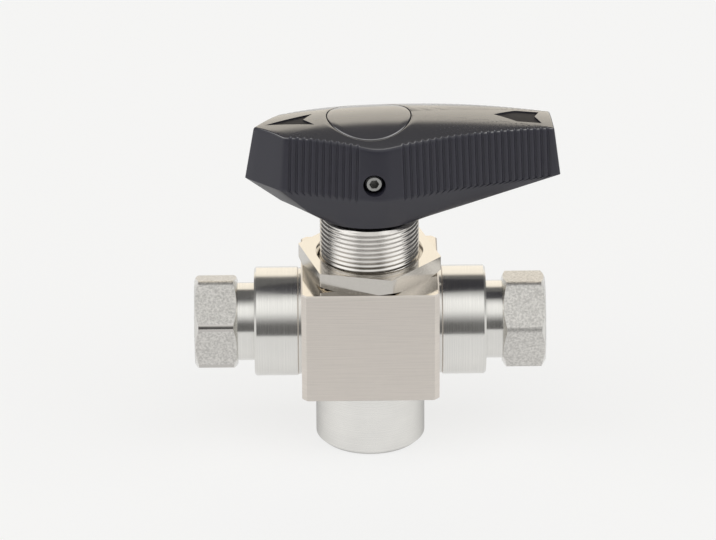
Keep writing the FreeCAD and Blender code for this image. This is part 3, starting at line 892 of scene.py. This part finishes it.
def column_points(at, depth, normal):
    """One column of the handle's skin, from the foot's rim up the wall and across the crown."""
    grip = at(wall_offset(grip_bottom))
    bell = math.exp(-((grip.x - sag_centre) / sag_spread) ** 2)
    level = grip_bottom + grip_bottom_rise - (grip_bottom_sag + grip_bottom_rise) * bell
    grip = at(wall_offset(level))
    angle = foot_angle(grip.x, grip.y)
    foot = foot_point(angle)
    kink = break_point(foot, grip, angle)
    kink_level = handle_bottom + hull_break_height

    def grooved(point, z):
        wall = at(wall_offset(z)).dot(normal) - depth * rib_depth
        reach = point.dot(normal)
        return point + normal * min(0.0, wall - reach)

    def wall_point(z):
        p = at(wall_offset(z)) - normal * depth * rib_depth
        return Vector((p.x, p.y, z))

    # Up the hull to the grip, closer together where the ribs' grooves run out
    points = []
    for share in (0.0, 0.25, 0.5, 0.75):
        z = handle_bottom + hull_break_height * share
        points.append((*foot.lerp(kink, share), z))
    for share in (0.0, 0.25, 0.5, 0.7, 0.8, 0.86, 0.91, 0.95, 0.98):
        z = kink_level + (level - kink_level) * share
        points.append((*grooved(kink.lerp(grip, share), z), z))

    # Up the grip to the crown, with the edge between them rounded
    edge_level = grip_top
    for _ in range(crown_edge_tries):
        p = wall_point(edge_level)
        edge_level = crown_height(p.x, p.y)
    top = edge_level - top_edge_radius
    for share in (0.0, 0.05, 0.25, 0.5, 0.75, 0.92):
        points.append(tuple(wall_point(level + (top - level) * share)))
    low = wall_point(top)
    edge = wall_point(edge_level)
    flat = Vector((edge.x, edge.y)) - normal * top_edge_radius
    if edge.y > 0.0:
        flat.y = max(flat.y, crown_edge_clearance)
    inner = Vector((flat.x, flat.y, crown_height(flat.x, flat.y)))
    for share in (0.0, 0.2, 0.4, 0.6, 0.8, 1.0):
        p = low * (1 - share) ** 2 + edge * 2 * share * (1 - share) + inner * share ** 2
        points.append(tuple(p))

    # Over the crown and down into the cap's seat
    seat = cap_radius + cap_gap
    polar = math.atan2(flat.y, flat.x)
    rim = Vector((math.cos(polar), math.sin(polar)))
    outer_rim = rim * (seat + cap_edge_rounding)
    for share in (0.1, 0.2, 0.35, 0.5, 0.65, 0.8, 0.9, 1.0):
        p = flat.lerp(outer_rim, share)
        points.append((p.x, p.y, crown_height(p.x, p.y)))
    for out, drop in reversed(cap_edge_profile):
        p = rim * (seat + cap_edge_rounding * out)
        points.append((p.x, p.y, crown_height(p.x, p.y) - cap_edge_rounding * drop))
    p = rim * seat
    points.append((p.x, p.y, cap_floor))
    return points


def about_z(x, y, angle):
    """A point of the plan, turned about Z."""
    c = math.cos(radians(angle))
    s = math.sin(radians(angle))
    return x * c - y * s, x * s + y * c


def turned_to_rest(points):
    """From the handle's own frame to where it rests."""
    return [(*about_z(x, y, handle_turn), z) for x, y, z in points]


def handle_skin():
    half = [column_points(*column) for column in half_outline()]
    mirrored = [[(x, -y, z) for x, y, z in column] for column in reversed(half[1:-1])]
    rows = list(zip(*(half + mirrored)))
    vertices = [point for row in rows for point in row]
    faces = ring_faces(len(rows), len(rows[0]))
    return make_object("handle_dressed", turned_to_rest(vertices), faces, handle_smooth_angle)


def prism(name, corners, bottom, top):
    """Upright prism in the handle; bottom and top are functions that give its heights at a place."""
    bm = bmesh.new()
    ring = [bm.verts.new((x, y, 0.0)) for x, y in corners]
    face = bm.faces.new(ring)
    bmesh.ops.triangulate(bm, faces=[face])
    for _ in range(2):
        bmesh.ops.subdivide_edges(bm, edges=bm.edges, cuts=1, use_grid_fill=True)
    bmesh.ops.triangulate(bm, faces=bm.faces)
    lower = list(bm.verts)
    made = bmesh.ops.extrude_face_region(bm, geom=list(bm.faces))
    upper = [g for g in made["geom"] if isinstance(g, bmesh.types.BMVert)]
    for vertices, height in ((lower, bottom), (upper, top)):
        for v in vertices:
            v.co.z = height(v.co.x, v.co.y)
    bm.verts.index_update()
    vertices = [tuple(v.co) for v in bm.verts]
    faces = [tuple(v.index for v in f.verts) for f in bm.faces]
    bm.free()
    return make_object(name, turned_to_rest(vertices), faces)


def arrow_cutter(name, corners):
    return prism(
        name, corners,
        lambda x, y: crown_height(x, y) - arrow_depth, lambda x, y: crown_height(x, y) + cutter_overrun)


def screw_hole_cutter():
    vertices = []
    for end in set_screw_hole_ends:
        for x, rise, y in circle(set_screw_hole_radius, end, set_screw_hole_columns):
            vertices.append((x, y, set_screw_level + rise))
    return make_object("screw_hole", turned_to_rest(vertices), ring_faces(2, set_screw_hole_columns))


def stop_slot_cutter():
    """Half-turn groove with round ends, in which the stop pin runs."""
    middle = stop_pin_circle / 2
    start = math.pi / 2

    def arc(centre_y, radius, first, sweep, steps):
        angles = [first + sweep * k / steps for k in range(steps + 1)]
        return [(radius * math.cos(a), centre_y + radius * math.sin(a)) for a in angles]

    corners = arc(0.0, middle + stop_slot_half_width, -start, math.pi, stop_slot_steps)
    corners += arc(middle, stop_slot_half_width, start, math.pi, stop_slot_end_steps)[1:-1]
    corners += arc(0.0, middle - stop_slot_half_width, start, -math.pi, stop_slot_steps)
    corners += arc(-middle, stop_slot_half_width, start, math.pi, stop_slot_end_steps)[1:-1]
    return prism(
        "stop_slot", corners,
        lambda x, y: handle_bottom - cutter_overrun, lambda x, y: handle_bottom + stop_slot_depth)


def handle_material(centre, normal):
    """Satin walls, a polished crown, and arrows with a matt floor."""
    x, y = about_z(centre.x, centre.y, -handle_turn)
    below_crown = crown_height(x, y) - centre.z
    beside_cap = math.hypot(x, y) > cap_radius + arrow_cap_margin
    on_arrow = abs(y) < arrow_reach and arrow_depth / 2 < below_crown < 2 * arrow_depth
    if beside_cap and on_arrow and normal.z > 0.5:
        return nylon_matt
    return nylon_polished if below_crown < crown_skin and normal.z > 0.8 else nylon


def make_handle():
    handle = handle_skin()
    cavity = turned("cavity", [
        (hub_cavity_radius, handle_bottom - cutter_overrun), (hub_cavity_radius, hub_cavity_top)])
    cutters = [arrow_cutter("nose_arrow", nose_arrow), arrow_cutter("tail_arrow", tail_arrow)]
    cutters += [screw_hole_cutter(), cavity, stop_slot_cutter()]
    cut(handle, cutters, handle_smooth_angle)
    dress(handle, [nylon, nylon_matt, nylon_polished], handle_material)
    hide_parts("handle")
    hand_over(handle, "handle_and_stem")


def make_cap():
    """The disc in the handle's top, bare, with a rounded edge."""
    vertices = circle(cap_radius, cap_floor, turned_columns)
    rows = [(cap_radius - cap_edge_rounding * inward, drop) for inward, drop in cap_edge_profile]
    rows += [(cap_radius - cap_edge_rounding, 0.0)]
    rows += [(cap_radius * share, 0.0) for share in (0.85, 0.7, 0.5, 0.3, 0.1)]
    for radius, drop in rows:
        for x, y, _ in circle(radius, 0.0, turned_columns):
            vertices.append((x, y, crown_height(x, y) - cap_edge_rounding * drop))
    faces = ring_faces(len(rows) + 1, turned_columns)
    cap = make_object("cap_dressed", turned_to_rest(vertices), faces, cap_smooth_angle)
    dress(cap, [nylon_polished])
    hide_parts("handle_cap")
    hand_over(cap, "handle_and_stem")


# Studio

def make_world():
    """Dim all round, with soft boxes in front, overhead and low at the sides, and a cream wall behind.

    The camera sees a plain backdrop instead.
    """
    world = bpy.data.worlds.new("studio")
    bpy.context.scene.world = world
    tree = cleared_tree(world)
    direction = add(tree, "ShaderNodeTexCoord").outputs["Generated"]

    def glow(centre, inner, outer, colour):
        """Light of one colour round a direction, fading between two angles from it."""
        toward = Vector(centre).normalized()
        cosine = vector_math(tree, "DOT_PRODUCT", {0: direction, 1: toward}, "Value")
        inputs = {
            "Value": math_node(tree, "ARCCOSINE", cosine), "From Min": radians(inner),
            "From Max": radians(outer), "To Min": 1.0, "To Max": 0.0}
        fade = add(tree, "ShaderNodeMapRange", inputs, interpolation_type="SMOOTHSTEP").outputs["Result"]
        return vector_math(tree, "SCALE", {0: colour, "Scale": fade})

    front = (0.0, -math.cos(radians(front_light_elevation)), math.sin(radians(front_light_elevation)))
    lights = [
        glow(front, 7.0, 42.0, (0.95, 0.95, 0.93)),
        glow((0.0, 0.985, 0.174), 29.0, 41.0, (1.06, 0.975, 0.83)),
    ]
    for side in (1, -1):
        lights.append(glow((0.62 * side, -0.1, 0.78), 14.0, 34.0, (1.1, 1.1, 1.09)))
    for side in (1, -1):
        lights.append(glow((0.89 * side, -0.42, 0.2), 22.0, 44.0, (0.8, 0.8, 0.79)))
    total = ambient_colour
    for light in lights:
        total = vector_math(tree, "ADD", {0: light, 1: total})
    studio = add(tree, "ShaderNodeBackground", {"Color": total, "Strength": 1.0})
    backdrop = add(tree, "ShaderNodeBackground", {"Color": (*backdrop_colour, 1.0), "Strength": 1.0})
    seen = add(tree, "ShaderNodeLightPath").outputs["Is Camera Ray"]
    mix = add(tree, "ShaderNodeMixShader", {0: seen, 1: studio.outputs[0], 2: backdrop.outputs[0]})
    add(tree, "ShaderNodeOutputWorld", {"Surface": mix.outputs[0]})


def make_floor():
    """Pale table top. Camera, gloss and glass see it lifted towards white, and its shadow stays."""
    corners = [
        (-table_side, -table_front, 0.0), (table_side, -table_front, 0.0),
        (table_side, table_side, 0.0), (-table_side, table_side, 0.0)]
    floor = make_object("floor", corners, [(0, 1, 2, 3)])
    floor.location.z = -table_gap * MM
    material = bpy.data.materials.new("table_paper")
    tree = cleared_tree(material)
    grain = noise(tree, paper_grain_scale, 3.0)
    paper = colour_between(tree, grain, (0.86, 0.86, 0.855), (0.9, 0.9, 0.895))
    diffuse = add(tree, "ShaderNodeBsdfDiffuse", {"Color": paper})
    glow = add(tree, "ShaderNodeEmission", {"Color": (1.0, 1.0, 0.995, 1.0), "Strength": 1.0})
    path = add(tree, "ShaderNodeLightPath").outputs
    reflected = math_node(tree, "MAXIMUM", path["Is Glossy Ray"], path["Is Transmission Ray"])
    share = weighted_sum(tree, path["Is Camera Ray"], table_seen_glow, reflected, table_reflected_glow)
    mix = add(tree, "ShaderNodeMixShader", {0: share, 1: diffuse.outputs[0], 2: glow.outputs[0]})
    add(tree, "ShaderNodeOutputMaterial", {"Surface": mix.outputs[0]})
    floor.data.materials.append(material)


def make_camera():
    """The photograph's camera, which looks down at the valve from the front."""
    e = radians(camera_elevation)
    right = Vector((1.0, 0.0, 0.0))
    up = Vector((0.0, math.sin(e), math.cos(e)))
    back = Vector((0.0, -math.cos(e), math.sin(e)))
    offset = right * camera_right + up * camera_up + back * camera_distance
    r = radians(camera_roll)
    rolled_right = right * math.cos(r) - up * math.sin(r)
    rolled_up = right * math.sin(r) + up * math.cos(r)
    data = bpy.data.cameras.new("camera")
    data.sensor_width = 36.0
    data.lens = focal_pixels * data.sensor_width / image_width
    data.clip_start = 0.05
    data.clip_end = 50.0
    camera = bpy.data.objects.new("camera", data)
    bpy.context.scene.collection.objects.link(camera)

    def swung(vector):
        return Vector((*about_z(vector.x, vector.y, camera_azimuth), vector.z))

    centre = swung(offset) + Vector((0.0, 0.0, port_axis_height))
    columns = [swung(v) for v in (rolled_right, rolled_up, back)] + [centre * MM]
    matrix = camera.matrix_world.copy()
    for c, column in enumerate(columns):
        for row in range(3):
            matrix[row][c] = column[row]
    camera.matrix_world = matrix
    bpy.context.scene.camera = camera


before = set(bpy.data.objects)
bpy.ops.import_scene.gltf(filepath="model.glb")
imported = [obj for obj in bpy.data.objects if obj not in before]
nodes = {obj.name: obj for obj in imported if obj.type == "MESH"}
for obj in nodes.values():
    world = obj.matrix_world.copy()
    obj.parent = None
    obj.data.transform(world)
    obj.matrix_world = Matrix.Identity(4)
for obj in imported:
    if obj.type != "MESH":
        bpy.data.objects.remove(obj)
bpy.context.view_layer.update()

make_camera()
make_world()
make_floor()

make_valve_body(nodes["valve_body"])
make_panel_nut(nodes["panel_nut"])
make_end_screw("left_end_screw", nodes["left_end_screw"], -1)
make_end_screw("right_end_screw", nodes["right_end_screw"], 1)
make_handle()
make_cap()

# Solids that keep their meshes
kept = (
    (ptfe, "left_end_seal", "right_end_seal", "lower_packing", "stem_packing"),
    (peek, "left_seat", "right_seat", "lower_bearing", "upper_bearing"),
    (rubber, "left_seat_o_ring", "right_seat_o_ring"),
    (steel_spring, "left_seat_springs", "right_seat_springs", "packing_springs", "stop_pin"),
    (steel_turned_side, "left_seat_carrier", "right_seat_carrier"),
    (steel_turned_up, "ball_stem", "lower_gland", "packing_support", "stem_gland", "packing_bolt"),
    (brass, "handle_insert"),
    (steel_screw, "handle_set_screw"),
)
for kept_material, *kept_names in kept:
    for kept_name in kept_names:
        slots = nodes[kept_name].data.materials
        slots.clear()
        slots.append(kept_material)

bpy.context.scene.view_settings.view_transform = "Standard"
